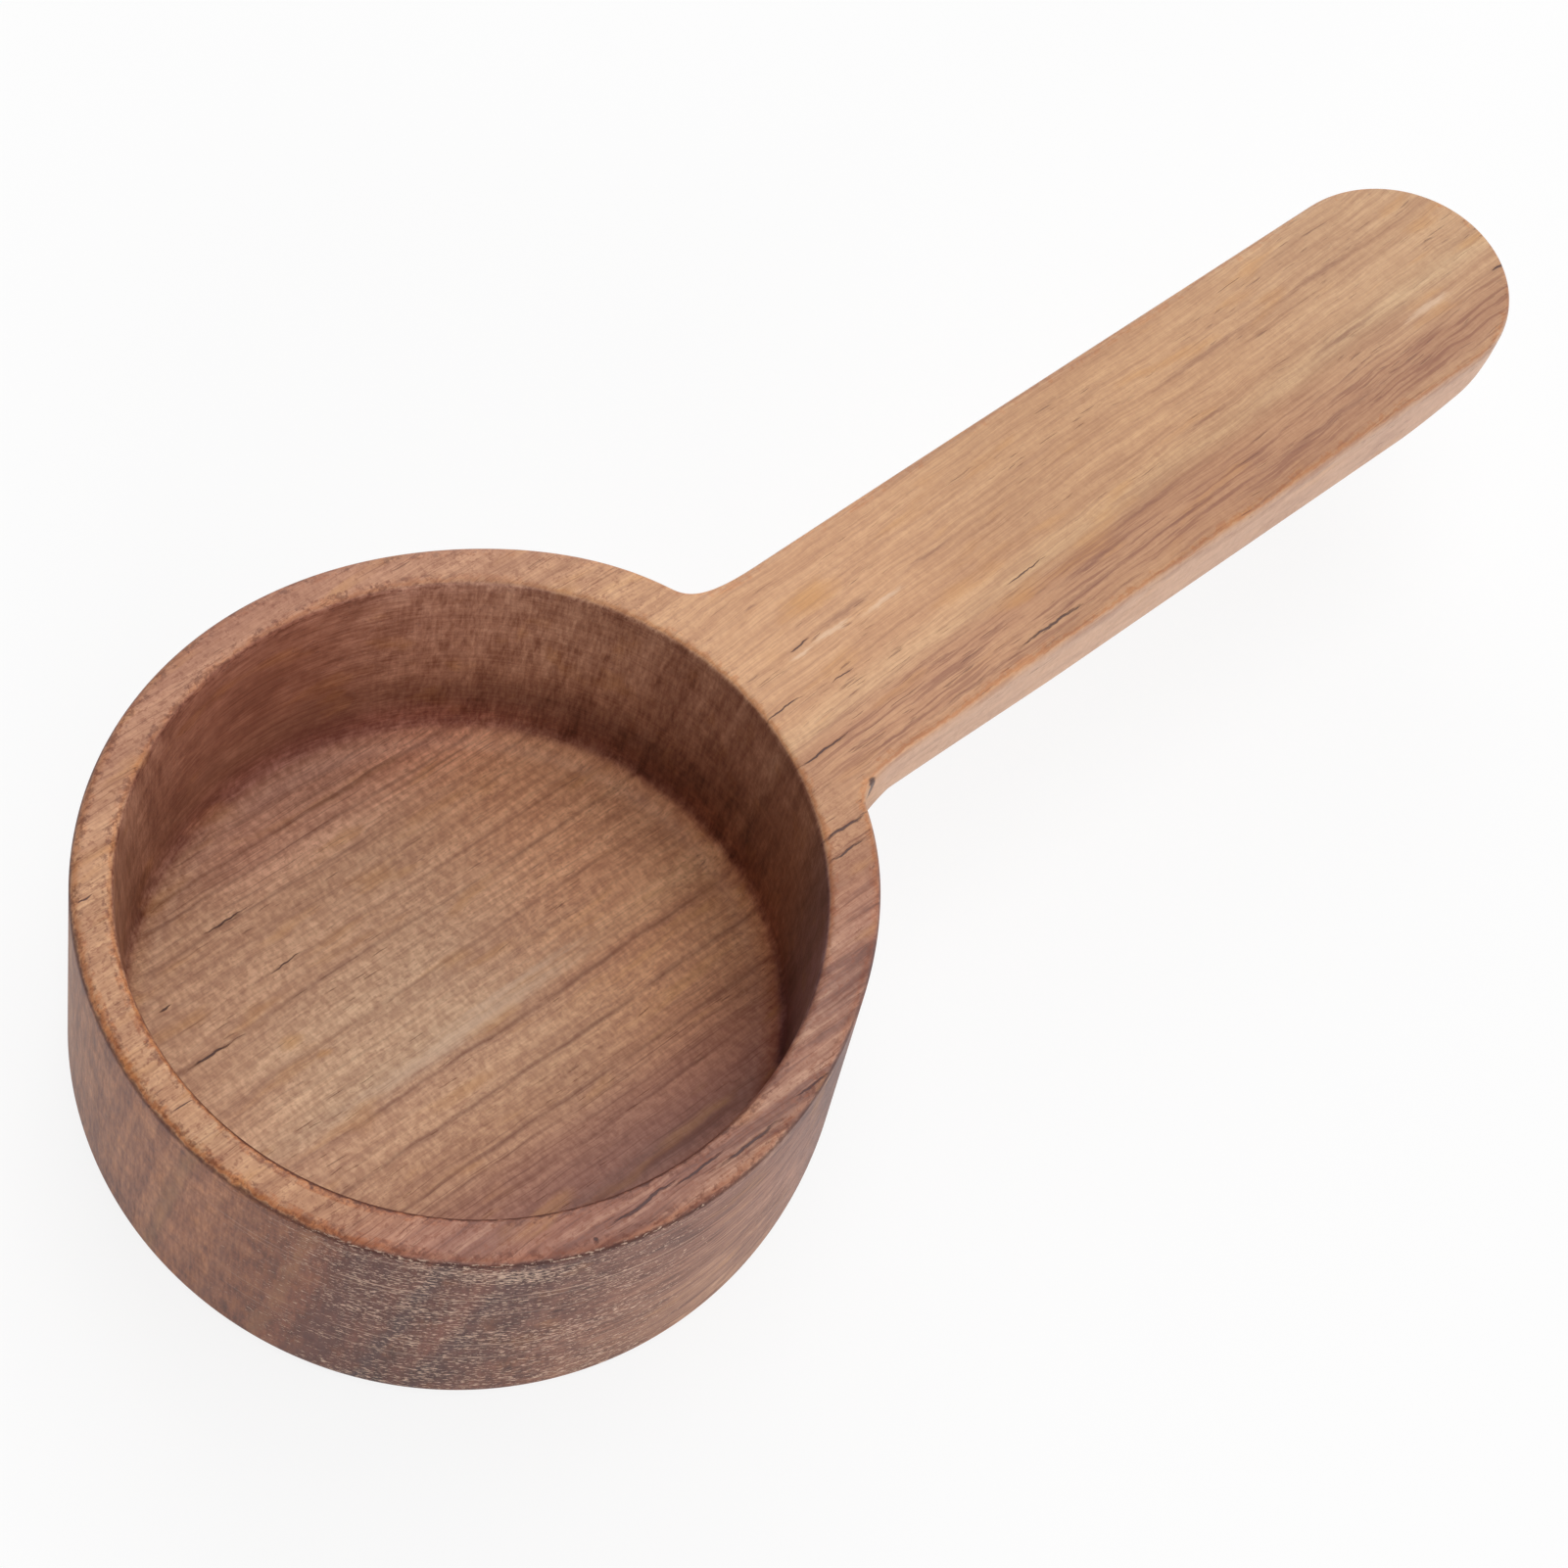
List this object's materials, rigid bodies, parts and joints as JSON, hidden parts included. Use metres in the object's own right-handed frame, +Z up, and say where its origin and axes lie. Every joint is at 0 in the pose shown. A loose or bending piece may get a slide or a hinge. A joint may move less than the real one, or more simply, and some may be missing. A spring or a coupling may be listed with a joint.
{
  "type": "measuring spoon",
  "caption": "Wooden measuring scoop cut from one block: a round, straight-sided, flat-bottomed bowl with a flat round-ended handle flush with its rim.",
  "frame": {"origin": "centre of the bowl's flat base", "axes": "+X out along the handle to its tip, +Z up out of the bowl, +Y to the handle's left seen from the bowl"},
  "size_m": [0.1239, 0.0535, 0.0224],
  "materials": {
    "oiled_wood": "sanded and lightly oiled"
  },
  "bodies": {
    "root": {"scoop_body": "oiled_wood"}
  },
  "joints": []
}
